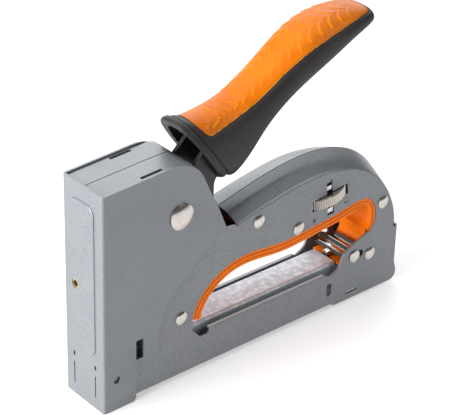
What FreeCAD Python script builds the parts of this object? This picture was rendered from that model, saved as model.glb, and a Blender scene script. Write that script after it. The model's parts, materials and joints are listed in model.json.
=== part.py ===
import FreeCAD, Part
import math
import os
import Sketcher

# Hand staple gun with a force wheel. Millimetres. +X runs from the nose to the rear,
# +Y to the user's right, +Z up. Outlines are drawn from the foot of the nose's front
# face, and every body is then moved forward so that the origin is under the middle.

DIMS = {
    "origin_shift": 86.5,
    "cover_width": 27.0,
    "body_width": 25.0,
    "sheet": 1.0,
    "panel_height": 0.6,
    "seam_gap": 0.44,
    "pivot_x": 40.7,
    "pivot_z": 83.1,
    "pivot_radius": 4.0,
    "pivot_head_radius": 6.0,
    "pivot_head_height": 2.0,
    "running_gap": 0.05,
    "rivet_radius": 1.75,
    "rivet_head_radius": 3.1,
    "rivet_head_height": 1.1,
    "lever_plate": 2.0,
    "lever_inside": 11.2,
    "arm_length": 30.6,
    "arm_drop": 13.0,
    "roller_radius": 3.2,
    "blade_width": 10.8,
    "blade_thickness": 1.2,
    "channel_width": 15.5,
    "channel_top": 21.3,
    "channel_sheet": 0.9,
    "rail_width": 9.4,
    "rail_top": 17.6,
    "rod_radius": 1.5,
    "rod_height": 10.5,
    "wheel_radius": 15.5,
    "wheel_thickness": 4.6,
    "wheel_x": 127.4,
    "wheel_z": 61.1,
    "wheel_tilt": 7.0,
    "wheel_teeth": 90,
    "screw_radius": 2.5,
    "coil_x": 85.0,
    "coil_z": 64.2,
    "coil_radius": 5.1,
    "wire_radius": 1.7,
    "latch_pin_x": 145.1,
    "latch_pin_z": 23.8,
    "latch_pin_radius": 1.6,
    "grip_thickness": 2.2,
    "rim_wall": 3.0,
}

doc = FreeCAD.newDocument("staple_gun")
dims = doc.addObject("Spreadsheet::Sheet", "dims")
for row, (alias, value) in enumerate(DIMS.items(), start=1):
    dims.set("A%d" % row, alias)
    dims.set("B%d" % row, str(value))
    dims.setAlias("B%d" % row, alias)
doc.recompute()

SUBPARTS = []


def size(alias):
    return float(dims.get(alias))


def vector(x, y, z=0.0):
    return FreeCAD.Vector(x, y, z)


# ---- outlines -------------------------------------------------------------------------

def rounded(corners, closed=True):
    """Lines and tangent arcs through corners (x, y, radius). An open one keeps its ends sharp."""
    count = len(corners)
    entries, exits, arcs = [], [], []
    for k, (x, y, radius) in enumerate(corners):
        here = vector(x, y)
        sharp = radius <= 0 or (not closed and k in (0, count - 1))
        if sharp:
            entries.append(here)
            exits.append(here)
            arcs.append(None)
            continue
        before = vector(*corners[k - 1][:2]) - here
        after = vector(*corners[(k + 1) % count][:2]) - here
        before.normalize()
        after.normalize()
        half = before.getAngle(after) / 2.0
        reach = radius / math.tan(half)
        middle = before + after
        middle.normalize()
        start = here + before * reach
        end = here + after * reach
        crown = here + middle * (radius / math.sin(half) - radius)
        entries.append(start)
        exits.append(end)
        arcs.append([start, crown, end])
    pieces = []
    last = count if closed else count - 1
    for k in range(last):
        if arcs[k] is not None:
            pieces.append(arcs[k])
        pieces.append([exits[k], entries[(k + 1) % count]])
    return [piece for piece in pieces if (piece[0] - piece[-1]).Length > 1e-6]


def joined(*chains):
    """One closed outline from open chains, with straight lines between their ends."""
    pieces = []
    for chain in chains:
        if pieces and (pieces[-1][-1] - chain[0][0]).Length > 1e-6:
            pieces.append([pieces[-1][-1], chain[0][0]])
        pieces.extend(chain)
    if (pieces[-1][-1] - pieces[0][0]).Length > 1e-6:
        pieces.append([pieces[-1][-1], pieces[0][0]])
    return pieces


def curve(points):
    return [[vector(*p) for p in points]]


def shifted(corners, distance):
    """Open corners moved by a distance to the right of the way they run, bends kept concentric."""
    points = [vector(x, y) for x, y, _ in corners]
    moved = []
    for k, (x, y, radius) in enumerate(corners):
        sides = []
        for a, b in ((k - 1, k), (k, k + 1)):
            if a >= 0 and b < len(points):
                run = points[b] - points[a]
                run.normalize()
                sides.append(vector(run.y, -run.x))
        push = sides[0] + sides[-1]
        push.normalize()
        place = points[k] + push * (distance / push.dot(sides[0]))
        if 0 < k < len(points) - 1 and radius > 0:
            turn = (points[k] - points[k - 1]).cross(points[k + 1] - points[k]).z
            radius = max(radius + (distance if turn > 0 else -distance), 0.05)
        moved.append((place.x, place.y, radius))
    return moved


def strip(corners, thickness):
    """The closed outline of a bent sheet whose left side runs through the corners."""
    far_side = shifted(corners, thickness)[::-1]
    return joined(rounded(corners, closed=False), rounded(far_side, closed=False))


def box(x0, y0, x1, y1, radius=0.0):
    return rounded([(x0, y0, radius), (x1, y0, radius), (x1, y1, radius), (x0, y1, radius)])


def inset(points, distance):
    """Points moved by a distance to the right of the way they run."""
    moved = []
    for k, (x, y) in enumerate(points):
        ahead = points[min(k + 1, len(points) - 1)]
        behind = points[max(k - 1, 0)]
        run = vector(ahead[0] - behind[0], ahead[1] - behind[1])
        run.normalize()
        moved.append((x + run.y * distance, y - run.x * distance))
    return moved


# ---- sketches and features --------------------------------------------------------------

def new_body(name):
    body = doc.addObject("PartDesign::Body", name)
    body.Label = name
    body.setExpression("Placement.Base.x", "-dims.origin_shift")
    SUBPARTS.append(body)
    return body


def draw(sketch, pieces):
    for points in pieces:
        if len(points) == 2:
            sketch.addGeometry(Part.LineSegment(*points), False)
        elif len(points) == 3:
            sketch.addGeometry(Part.Arc(*points), False)
        else:
            smooth = Part.BSplineCurve()
            smooth.interpolate(points)
            sketch.addGeometry(smooth, False)


def sketch_on(body, role, name, pieces, height=0.0):
    sketch = body.newObject("Sketcher::SketchObject", name)
    plane = next(f for f in body.Origin.OriginFeatures if f.Role == role)
    sketch.AttachmentSupport = [(plane, "")]
    sketch.MapMode = "FlatFace"
    if isinstance(height, str):
        sketch.setExpression("AttachmentOffset.Base.z", height)
    else:
        sketch.AttachmentOffset = FreeCAD.Placement(vector(0, 0, height), FreeCAD.Rotation())
    draw(sketch, pieces)
    return sketch


def set_length(feature, length):
    if isinstance(length, str):
        feature.setExpression("Length", length)
    else:
        feature.Length = length


def pad(body, name, pieces, height, length, role="XZ_Plane"):
    """Add the outline, from a height along the plane's normal. XZ_Plane's normal is -Y."""
    sketch = sketch_on(body, role, name + "_sketch", pieces, height)
    feature = body.newObject("PartDesign::Pad", name)
    feature.Profile = sketch
    set_length(feature, length)
    doc.recompute()
    return feature


def cut(body, name, pieces, height, length, role="XZ_Plane"):
    before = body.Shape.Volume
    sketch = sketch_on(body, role, name + "_sketch", pieces, height)
    feature = body.newObject("PartDesign::Pocket", name)
    feature.Profile = sketch
    feature.Reversed = True
    set_length(feature, length)
    doc.recompute()
    if body.Shape.Volume > before - 1e-3:
        raise RuntimeError(name + " cuts nothing")
    return feature


def ruled_loft(body, name, outlines):
    """Skin straight across outlines given as (distance from the seam, pieces)."""
    seam = size("seam_gap") / 2
    sections = []
    for number, (reach, pieces) in enumerate(outlines):
        sketch_name = "%s_%d" % (name, number)
        sections.append(sketch_on(body, "XZ_Plane", sketch_name, pieces, max(reach, seam)))
    doc.recompute()
    feature = body.newObject("PartDesign::AdditiveLoft", name)
    feature.Profile = sections[0]
    feature.Sections = sections[1:]
    feature.Ruled = True
    doc.recompute()
    return feature


def circle_sketch(body, role, name, holes, height):
    """Circles at (x, y, radius). A radius that is an expression is bound to the sheet."""
    sketch = sketch_on(body, role, name, [], height)
    for x, y, radius in holes:
        start = 1.0 if isinstance(radius, str) else radius
        index = sketch.addGeometry(Part.Circle(vector(x, y), vector(0, 0, 1), start), False)
        if isinstance(radius, str):
            number = sketch.addConstraint(Sketcher.Constraint("Radius", index, start))
            sketch.addConstraint(Sketcher.Constraint("DistanceX", -1, 1, index, 3, x))
            sketch.addConstraint(Sketcher.Constraint("DistanceY", -1, 1, index, 3, y))
            sketch.setExpression("Constraints[%d]" % number, radius)
    return sketch


def pad_circles(body, name, holes, height, length, role="XZ_Plane"):
    sketch = circle_sketch(body, role, name + "_sketch", holes, height)
    feature = body.newObject("PartDesign::Pad", name)
    feature.Profile = sketch
    set_length(feature, length)
    doc.recompute()
    return feature


def cut_circles(body, name, holes, height, length, role="XZ_Plane"):
    before = body.Shape.Volume
    sketch = circle_sketch(body, role, name + "_sketch", holes, height)
    feature = body.newObject("PartDesign::Pocket", name)
    feature.Profile = sketch
    feature.Reversed = True
    set_length(feature, length)
    doc.recompute()
    if body.Shape.Volume > before - 1e-3:
        raise RuntimeError(name + " cuts nothing")
    return feature


def fillet(body, name, radius, wanted):
    """Round the edges of the body's tip for which wanted(edge) is true."""
    base = body.Tip
    names = ["Edge%d" % (k + 1) for k, edge in enumerate(base.Shape.Edges) if wanted(edge)]
    if not names:
        raise RuntimeError(name + " finds no edge")
    feature = body.newObject("PartDesign::Fillet", name)
    feature.Base = (base, names)
    feature.Radius = radius
    doc.recompute()
    if "Invalid" in feature.State:
        raise RuntimeError(name + " can't be rounded")
    return feature


def shape_node(name, shape):
    """A sub-part whose shape comes straight from Part's own functions."""
    node = doc.addObject("Part::Feature", name)
    node.Label = name
    node.Shape = shape
    forward = FreeCAD.Placement(vector(-size("origin_shift"), 0, 0), FreeCAD.Rotation())
    node.Placement = forward.multiply(shape.Placement)
    SUBPARTS.append(node)
    return node


def on_wheel_axis(distance):
    """The point at a distance up the wheel's axis from the wheel's middle."""
    tilt = math.radians(size("wheel_tilt"))
    return (size("wheel_x") - distance * math.sin(tilt), size("wheel_z") + distance * math.cos(tilt))


def tilted_box(distance, half_length, half_height):
    """A box's outline square to the wheel's axis, centred at a distance up that axis."""
    cx, cz = on_wheel_axis(distance)
    tilt = math.radians(size("wheel_tilt"))
    along = vector(math.cos(tilt), math.sin(tilt)) * half_length
    up = vector(-math.sin(tilt), math.cos(tilt)) * half_height
    middle = vector(cx, cz)
    corners = [middle - along - up, middle + along - up, middle + along + up, middle - along + up]
    return rounded([(c.x, c.y, 0.0) for c in corners])


# ---- the pressed-steel body ---------------------------------------------------------------

RIVETS = [(85.0, 64.2), (108.8, 52.0), (42.2, 31.5), (161.7, 46.9), (155.2, 21.6)]

# The arch seen from the side, front to rear: along the seam, along the fold between the
# top and the chamfer, and along the bend between the chamfer and the side wall.
ARCH_SEAM = [(72.1, 71.1), (84.0, 74.2), (98.0, 77.3), (119.5, 79.9), (137.0, 78.2), (152.0, 72.2),
             (163.5, 61.5), (169.6, 48.0), (171.4, 32.4)]
ARCH_FOLD = [(72.3, 70.2), (84.0, 73.4), (98.0, 76.3), (119.0, 78.2), (135.5, 76.4), (150.0, 70.8),
             (161.8, 60.4), (168.8, 47.4), (171.3, 32.4)]
ARCH_BEND = [(72.8, 66.6), (84.0, 69.7), (98.0, 72.4), (119.0, 74.8), (134.5, 73.3), (147.5, 68.8),
             (159.8, 58.6), (167.6, 46.6), (171.1, 32.4)]


# The steel edge of the finger opening's upper part, from its front foot over to its rear.
OPENING = [(48.4, 27.6), (49.5, 31.9), (54.0, 39.1), (61.0, 45.0), (71.0, 49.1), (83.0, 49.9),
           (100.0, 48.4), (116.0, 49.4), (133.0, 51.2), (145.5, 53.1), (150.6, 52.7), (155.0, 49.6),
           (157.4, 43.5), (157.0, 37.4), (154.0, 33.8)]


def wall_outline():
    edge = inset(ARCH_BEND, 1.0)
    arch = curve(edge)
    arch[0].reverse()
    front_end = (edge[0][0], edge[0][1], 0)
    rear_end = (edge[-1][0], edge[-1][1], 0)
    lower = rounded([rear_end, (169.4, 31.6, 0.3), (170.2, 30.9, 0.4), (172.3, 29.6, 1.0),
                     (172.3, 10.5, 4.0), (173.6, 6.5, 3.0), (173.6, 1.2, 3.6), (134.0, 1.2, 1.0),
                     (131.0, 2.7, 1.0), (1.3, 2.7, 0.5), (1.3, 104.6, 0.5), (33.0, 106.2, 20.0),
                     (46.6, 106.4, 11.0), (52.6, 94.0, 8.0), (60.6, 82.6, 8.0), (66.6, 67.8, 2.4),
                     (72.0, 67.2, 0.8), front_end], closed=False)
    lower = [piece[::-1] for piece in lower[::-1]]
    return joined(arch, lower)


def make_left_shell():
    """One pressed half: side wall, folded roof over the arch, folded top over the head."""
    body = new_body("left_shell")
    skin = size("sheet")
    pad(body, "side_wall", wall_outline(), "dims.body_width / 2 - dims.sheet", "dims.sheet")
    folds = [(0.0, 0.0), (5.1, 0.0), (6.3, 0.22), (7.5, 0.0), (11.4, 0.0), (12.1, 0.3), (12.5, 0.95)]
    outlines = []
    for reach, sink in folds:
        outer = inset(arch_line(reach), sink)
        outlines.append((reach, joined(curve(outer), curve(inset(outer, skin)[::-1]))))
    ruled_loft(body, "arch_roof", outlines)
    top = [(1.3, 105.3, 0), (32.0, 106.8, 20.0), (46.6, 107.1, 6.5), (49.7, 100.7, 0)]
    bends = [(reach, sink) for reach, sink in folds if reach == 0.0 or reach > 10.0]
    outlines = [(reach, strip(shifted(top, sink), skin)) for reach, sink in bends]
    ruled_loft(body, "head_roof", outlines)
    rear = box(171.3, 22.6, 172.3, 31.6)
    pad(body, "rear_flange", rear, "dims.seam_gap / 2", "dims.body_width / 2 - dims.seam_gap / 2")
    pad(body, "rail_flange", box(58.4, 18.8, 127.0, 19.8), 10.3, 1.5)
    pad(body, "bottom_flange", box(22.0, 2.7, 129.5, 3.7), 9.4, 2.4)
    cut(body, "finger_opening", full_opening(), 0.0, 14.0)
    fillet(body, "rail_bend", 0.8, is_rail_bend)
    cut(body, "wheel_slot", tilted_box(0.0, 10.9, 2.7), 7.0, 7.0)
    cut(body, "foot_window", tilted_box(-6.6, 2.0, 2.3), 7.0, 7.0)
    cut(body, "saddle_window", tilted_box(5.2, 1.8, 2.7), 7.0, 7.0)
    cut(body, "dimple", tilted_box(7.6, 1.6, 2.0), 12.0, 1.0)
    cut(body, "sight_hole", box(128.7, 7.6, 131.7, 14.4, 1.49), 7.0, 7.0)
    cut(body, "bottom_louver", box(140.9, 4.4, 148.5, 5.7, 0.5), 7.0, 7.0)
    cut(body, "cover_window", box(16.4, 20.2, 21.8, 30.3, 0.6), 7.0, 7.0)
    cut(body, "latch_slot", box(142.9, 21.9, 151.0, 25.7, 1.85), 7.0, 7.0)
    cut(body, "top_slot", box(21.6, -11.3, 33.0, -9.6, 0.3), 100.0, 10.0, "XY_Plane")
    holes = [(x, z, "dims.rivet_radius") for x, z in RIVETS]
    holes.append((size("pivot_x"), size("pivot_z"), "dims.pivot_radius"))
    cut_circles(body, "rivet_holes", holes, 7.0, 7.0)
    return body


def arch_line(reach):
    """The arch's outer line at a distance from the seam, between the three folds."""
    fold_at = 6.3
    side_at = size("body_width") / 2
    if reach <= fold_at:
        first, second, share = ARCH_SEAM, ARCH_FOLD, reach / fold_at
    else:
        first, second, share = ARCH_FOLD, ARCH_BEND, (reach - fold_at) / (side_at - fold_at)
    return [(a[0] + (b[0] - a[0]) * share, a[1] + (b[1] - a[1]) * share) for a, b in zip(first, second)]


def is_rail_bend(edge):
    box_ = edge.BoundBox
    return box_.YMax < -12.4 and box_.XLength > 60 and abs(box_.ZMin - 19.8) < 0.01


def full_opening():
    lower = rounded([(154.0, 33.8, 0), (148.4, 32.0, 6.0), (138.6, 27.6, 3.5), (135.6, 20.2, 5.0),
                     (130.4, 18.0, 2.5), (127.2, 19.8, 0), (58.3, 19.8, 0), (57.8, 17.0, 1.4),
                     (53.4, 17.0, 3.5), (48.4, 22.6, 3.0), (48.4, 27.6, 0)], closed=False)
    return joined(curve(OPENING), lower)


def make_right_shell(left):
    mirror = doc.addObject("Part::Mirroring", "right_shell")
    mirror.Label = "right_shell"
    mirror.Source = left
    mirror.Base = vector(0, 0, 0)
    mirror.Normal = vector(0, 1, 0)
    SUBPARTS.append(mirror)
    return mirror


# How wide the liner's lip is at each point of the opening's edge: narrower round the pocket.
LIP = [5.0] * 9 + [4.6, 3.8, 3.2, 2.9, 2.8, 2.8]


def opening_band(outside, inside):
    """The outline of a band between two distances inside the opening's edge."""
    return joined(curve(inset(OPENING, outside)), curve(inset(OPENING, inside)[::-1]))


def lip_band():
    """The lip's outline: even along the steel's edge, and LIP wide."""
    free_edge = [inset(OPENING, width)[k] for k, width in enumerate(LIP)]
    return joined(curve(inset(OPENING, 0.12)), curve(free_edge[::-1]))


def make_finger_liner():
    """The moulded lining of the opening: a lip, a rib behind the steel and a rear pocket."""
    body = new_body("finger_liner")
    pad(body, "lip", lip_band(), -12.2, 24.4)
    pad(body, "rib", opening_band(-1.2, 1.6), -11.2, 22.4)
    floor = [(138.9, 20.7, 0), (150.6, 20.8, 2.0), (155.2, 27.0, 4.0), (155.4, 42.0, 0)]
    pad(body, "pocket_floor", strip(floor, 1.3), -8.6, 17.2)
    cut(body, "catch_slot", box(138.0, -2.2, 144.6, 2.2), 15.0, 8.0, "XY_Plane")
    for number, start in enumerate((11.8, -12.3)):
        cut(body, "outer_groove_%d" % number, opening_band(1.3, 1.9), start, 0.5)
        cut(body, "inner_groove_%d" % number, opening_band(3.2, 3.7), start, 0.5)
    return body


# ---- the nose ------------------------------------------------------------------------------

def on_front_edge(edge):
    box_ = edge.BoundBox
    return box_.XMax < 0.01 and box_.ZLength > 90 and abs(box_.YMax) > 13.0


def on_panel_rim(edge):
    return edge.BoundBox.XMax < 0.01 - size("panel_height")


def make_nose_cover():
    """The outer U of the nose: front face and two shaped cheeks, open at the top and rear."""
    body = new_body("nose_cover")
    side = rounded([(0, 0, 0), (15.9, 0, 0.6), (17.1, 1.6, 0.6), (17.1, 30.6, 0.7), (21.1, 30.6, 0.7),
                    (21.1, 19.4, 1.6), (28.9, 19.4, 2.6), (29.0, 40.1, 26.0), (60.9, 66.7, 21.5),
                    (60.9, 79.5, 11.5), (47.8, 108.2, 18.0), (0, 105.9, 0)])
    pad(body, "block", side, "-dims.cover_width / 2", "dims.cover_width")
    fillet(body, "front_bends", 1.3, on_front_edge)
    hollow = box(size("sheet"), -5.0, 80.0, 120.0)
    cut(body, "hollow", hollow, "-dims.body_width / 2", "dims.body_width")
    panel = box(-7.9, 26.0, 7.9, 98.5, 4.0)
    pad(body, "panel", panel, "-dims.panel_height", "dims.panel_height", "YZ_Plane")
    fillet(body, "panel_rim", 0.5, on_panel_rim)
    marks = []
    for y in (-7.4, 7.4):
        marks += box(y - 0.35, 5.6, y + 0.35, 16.6)
        marks += box(y - 0.6, 19.6, y + 0.6, 22.0)
    cut(body, "gauge_slots", marks, -1.5, 4.0, "YZ_Plane")
    cut_circles(body, "front_hole", [(5.1, 57.1, 2.2)], -1.5, 4.0, "YZ_Plane")
    cut_circles(body, "side_holes", [(6.9, 15.1, 1.75)], -15.0, 30.0)
    pivot = [(size("pivot_x"), size("pivot_z"), "dims.pivot_radius")]
    cut_circles(body, "pivot_holes", pivot, -15.0, 30.0)
    return body


def make_nose_guide():
    body = new_body("nose_guide")
    pad(body, "plate", box(-11.2, 0.8, 11.2, 66.0, 1.0), 1.2, 1.7, "YZ_Plane")
    cut(body, "staple_mouth", box(-5.9, 0.0, 5.9, 3.0), 2.4, 1.0, "YZ_Plane")
    cut_circles(body, "bush_hole", [(5.1, 57.1, 1.6)], 0.5, 3.0, "YZ_Plane")
    return body


def make_front_bush():
    """The brass bush that shows in the hole in the front face."""
    body = new_body("front_bush")
    ring = [(5.1, 57.1, 2.15), (5.1, 57.1, 1.5)]
    pad_circles(body, "ring", ring, -0.3, 1.4, "YZ_Plane")
    return body


def make_plunger_guides():
    bars = []
    for side in (-1, 1):
        low = 9.0 if side > 0 else -11.5
        bars.append(Part.makeBox(10.4, 2.5, 74.0, vector(3.1, low, 26.0)))
    return shape_node("plunger_guides", Part.makeCompound(bars))


def make_bumper():
    body = new_body("plunger_bumper")
    pad(body, "pad", box(5.0, 40.2, 13.4, 46.6, 1.0), -8.9, 17.8)
    return body


# ---- the driver -------------------------------------------------------------------------------

def make_driver_blade():
    body = new_body("driver_blade")
    half = size("blade_width") / 2
    pad(body, "blade", box(-half, 0.6, half, 62.0), 3.1, "dims.blade_thickness", "YZ_Plane")
    return body


def make_plunger():
    """The plate behind the blade, with lugs above and below the lever's roller and the wire."""
    body = new_body("plunger")
    pad(body, "plate", box(-8.7, 47.0, 8.7, 89.3, 1.0), 4.3, 2.0, "YZ_Plane")
    roller = size("pivot_z") - size("arm_length") * math.sin(math.radians(size("arm_drop")))
    for name, low, high, reach in (("over_roller", roller + 3.6, roller + 7.2, 5.2),
                                   ("under_roller", roller - 7.0, roller - 3.5, 5.2),
                                   ("over_wire", 58.7, 61.2, 8.5),
                                   ("under_wire", 51.2, 53.8, 8.5)):
        pad(body, name, box(6.0, low, 14.5, high, 0.4), -reach, 2 * reach)
    return body


# ---- the lever ----------------------------------------------------------------------------------

LEVER = [(7.6, 73.0, 3.0), (30.0, 73.0, 8.0), (42.0, 70.6, 9.0), (53.0, 74.0, 8.0), (63.0, 79.0, 3.5),
         (63.3, 91.0, 6.0), (73.5, 96.0, 12.0), (97.5, 116.6, 12.0), (108.5, 122.8, 2.0),
         (105.0, 129.0, 3.0), (84.0, 117.2, 14.0), (60.0, 108.5, 10.0), (47.0, 96.0, 8.0),
         (31.0, 92.0, 9.0), (27.0, 79.5, 4.0), (7.6, 79.5, 3.0)]


def nose_pin():
    """Where the lever carries its roller, in front of and a little below the pivot."""
    drop = math.radians(size("arm_drop"))
    return (size("pivot_x") - size("arm_length") * math.cos(drop),
            size("pivot_z") - size("arm_length") * math.sin(drop))


def make_lever():
    """A folded channel: two plates, joined along the top inside the handle."""
    body = new_body("lever")
    pad(body, "plates", rounded(LEVER), "-dims.lever_inside / 2 - dims.lever_plate",
        "dims.lever_inside + 2 * dims.lever_plate")
    inside = rounded([(0, 60, 0), (130, 60, 0), (130, 140.9, 0), (84.9, 115.2, 12.0),
                      (60.9, 106.4, 0), (60.9, 140, 0), (0, 140, 0)])
    cut(body, "between_plates", inside, "-dims.lever_inside / 2", "dims.lever_inside")
    x, z = nose_pin()
    pivot = (size("pivot_x"), size("pivot_z"), "dims.pivot_radius + dims.running_gap")
    cut_circles(body, "holes", [pivot, (x, z, 1.6)], -10.0, 20.0)
    return body


def make_lever_bush():
    body = new_body("lever_bush")
    x, z = size("pivot_x"), size("pivot_z")
    rings = [(x, z, 6.6), (x, z, "dims.pivot_radius + dims.running_gap")]
    pad_circles(body, "ring", rings, -5.5, 11.0)
    return body


def make_nose_roller():
    body = new_body("nose_roller")
    x, z = nose_pin()
    pad_circles(body, "ring", [(x, z, "dims.roller_radius"), (x, z, 1.6)], -5.2, 10.4)
    return body


def make_nose_pin():
    body = new_body("nose_pin")
    x, z = nose_pin()
    pad_circles(body, "pin", [(x, z, 1.6)], -8.2, 16.4)
    return body


# ---- rivets, pins and sleeves -----------------------------------------------------------------------

def domed_rivet(x, z, shank, head, rise, reach):
    """A shank from side to side with a shallow dome on each end."""
    rim = reach + 0.35 * rise
    crown = reach + rise
    outline = [Part.LineSegment(vector(0, 0), vector(0, crown)),
               Part.Arc(vector(0, crown), vector(head * 0.62, reach + rise * 0.82), vector(head, rim)),
               Part.LineSegment(vector(head, rim), vector(head, reach)),
               Part.LineSegment(vector(head, reach), vector(shank, reach)),
               Part.LineSegment(vector(shank, reach), vector(shank, 0)),
               Part.LineSegment(vector(shank, 0), vector(0, 0))]
    face = Part.Face(Part.Wire([piece.toShape() for piece in outline]))
    right = face.revolve(vector(0, 0, 0), vector(0, 1, 0), 360)
    rivet = right.fuse(right.mirror(vector(0, 0, 0), vector(0, 1, 0)))
    rivet = rivet.removeSplitter()
    rivet.translate(vector(x, 0, z))
    return rivet


def make_rivets():
    half = size("body_width") / 2
    rivets = [domed_rivet(x, z, size("rivet_radius"), size("rivet_head_radius"),
                          size("rivet_head_height"), half) for x, z in RIVETS]
    return shape_node("body_rivets", Part.makeCompound(rivets))


def make_pivot_rivet():
    rivet = domed_rivet(size("pivot_x"), size("pivot_z"), size("pivot_radius"), size("pivot_head_radius"),
                        size("pivot_head_height"), size("cover_width") / 2)
    return shape_node("lever_pivot_rivet", rivet)


def tube(x, z, outer, inner, half):
    ring = Part.makeCylinder(outer, 2 * half, vector(x, -half, z), vector(0, 1, 0))
    return ring.cut(Part.makeCylinder(inner, 2 * half, vector(x, -half, z), vector(0, 1, 0)))


def make_sleeves():
    inside = size("body_width") / 2 - size("sheet")
    bore = size("rivet_radius") + size("running_gap")
    spacers = [tube(x, z, 2.6, bore, inside) for x, z in (RIVETS[2], RIVETS[3])]
    shape_node("body_spacers", Part.makeCompound(spacers))
    shape_node("spring_sleeve", tube(size("coil_x"), size("coil_z"), 3.15, bore, inside))


# ---- springs -------------------------------------------------------------------------------------------

def wire_run(points, radius, bend):
    """A round wire through points, with tangent bends."""
    corners = []
    for k, point in enumerate(points):
        if 0 < k < len(points) - 1:
            before = (points[k - 1] - point).normalize()
            after = (points[k + 1] - point).normalize()
            half = before.getAngle(after) / 2.0
            reach = bend / math.tan(half)
            middle = (before + after).normalize()
            crown = point + middle * (bend / math.sin(half) - bend)
            corners.append((point + before * reach, crown, point + after * reach))
    edges = []
    here = points[0]
    for start, crown, end in corners:
        edges.append(Part.LineSegment(here, start).toShape())
        edges.append(Part.Arc(start, crown, end).toShape())
        here = end
    edges.append(Part.LineSegment(here, points[-1]).toShape())
    path = Part.Wire(edges)
    ring = Part.Wire([Part.Circle(points[0], points[1] - points[0], radius).toShape()])
    return path.makePipeShell([ring], True, False)


def coil(radius, wire, pitch, turns):
    """A helix of round wire about Z, from (radius, 0, 0)."""
    path = Part.makeHelix(pitch, pitch * turns, radius)
    ring = Part.Wire([Part.Circle(vector(radius, 0, 0), vector(0, 1, 0), wire).toShape()])
    return Part.Wire(path.Edges).makePipeShell([ring], True, True)


def make_drive_spring():
    """A torsion spring: four turns on the front rivet, one arm to the plunger, one over the wheel."""
    wire = size("wire_radius")
    radius = size("coil_radius")
    turns = 4
    pitch = 2 * wire + 0.2
    half = pitch * turns / 2.0
    x, z = size("coil_x"), size("coil_z")
    turned_coil = coil(radius, wire, pitch, turns)
    turned_coil.rotate(vector(0, 0, 0), vector(0, 0, 1), 90)
    turned_coil.rotate(vector(0, 0, 0), vector(1, 0, 0), -90)
    turned_coil.translate(vector(x, -half, z))
    low = z - radius
    arm = wire * 0.97
    front = wire_run([vector(x + 0.6, -half, low), vector(x - 20, -half, low), vector(9.0, -half, 56.3)],
                     arm, 60.0)
    saddle_x, saddle_z = on_wheel_axis(6.4)
    high = saddle_z + wire + 0.35
    rear = wire_run([vector(x - 0.6, half, low), vector(99.0, half, low), vector(109.0, half, high),
                     vector(saddle_x + 6.0, half, high)], arm, 5.0)
    return shape_node("drive_spring", turned_coil.fuse([front, rear]))


def make_pusher_spring():
    spring = coil(2.4, 0.35, 4.5, 30)
    spring.rotate(vector(0, 0, 0), vector(0, 1, 0), 90)
    spring.translate(vector(21.4, 0, size("rod_height")))
    return shape_node("pusher_spring", spring)


def make_latch_spring():
    spring = coil(0.7, 0.2, 0.55, 4)
    spring.rotate(vector(0, 0, 0), vector(0, 1, 0), 90)
    spring.translate(vector(148.0, 0, 22.2))
    return shape_node("latch_spring", spring)


# ---- the magazine ----------------------------------------------------------------------------------------

def channel_outline(width, low, high, bend, thickness):
    half = width / 2
    corners = [(-half, low, 0), (-half, high, bend), (half, high, bend), (half, low, 0)]
    return strip(corners, thickness)


def make_magazine_channel():
    """The plated channel seen through the opening, under which the staples slide."""
    body = new_body("magazine_channel")
    outline = channel_outline(size("channel_width"), 2.9, size("channel_top"), 1.7, size("channel_sheet"))
    pad(body, "channel", outline, 4.9, 132.9, "YZ_Plane")
    return body


def make_staple_rail():
    body = new_body("staple_rail")
    outline = channel_outline(size("rail_width"), 5.2, size("rail_top"), 1.2, size("channel_sheet"))
    pad(body, "rail", outline, 5.2, 153.3, "YZ_Plane")
    cut(body, "catch_notch", box(138.2, -2.0, 141.2, 2.0, 0.4), 15.0, 10.0, "XY_Plane")
    return body


def make_magazine_end():
    """The block that closes the magazine at the rear and draws it out."""
    body = new_body("magazine_end")
    side = rounded([(158.5, 4.0, 1.0), (172.8, 4.0, 1.5), (172.8, 21.4, 1.5), (163.0, 21.4, 3.0),
                    (158.5, 15.5, 1.0)])
    pad(body, "block", side, -10.6, 21.2)
    cut(body, "finger_dip", rounded([(170.8, 8.0, 1.0), (175.0, 8.0, 0), (175.0, 17.5, 0), (170.8, 17.5, 1.0)]),
        -6.0, 12.0)
    return body


def make_guide_rod():
    body = new_body("guide_rod")
    pad_circles(body, "rod", [(0.0, size("rod_height"), "dims.rod_radius")], 6.4, 152.1, "YZ_Plane")
    return body


def make_pusher():
    """A saddle over the rail, closed below it, with a block inside that runs on the rod."""
    body = new_body("pusher")
    saddle = channel_outline(12.6, 3.4, 18.75, 1.0, 0.9)
    pad(body, "saddle", saddle, 7.0, 14.0, "YZ_Plane")
    pad(body, "bridge", box(-6.3, 3.4, 6.3, 4.6, 0.4), 7.0, 14.0, "YZ_Plane")
    pad(body, "block", box(-3.2, 4.2, 3.2, 13.4, 0.3), 7.0, 14.0, "YZ_Plane")
    bore = [(0.0, size("rod_height"), "dims.rod_radius + dims.running_gap")]
    cut_circles(body, "rod_bore", bore, 6.0, 16.0, "YZ_Plane")
    return body


# ---- the magazine latch --------------------------------------------------------------------------------------

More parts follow.
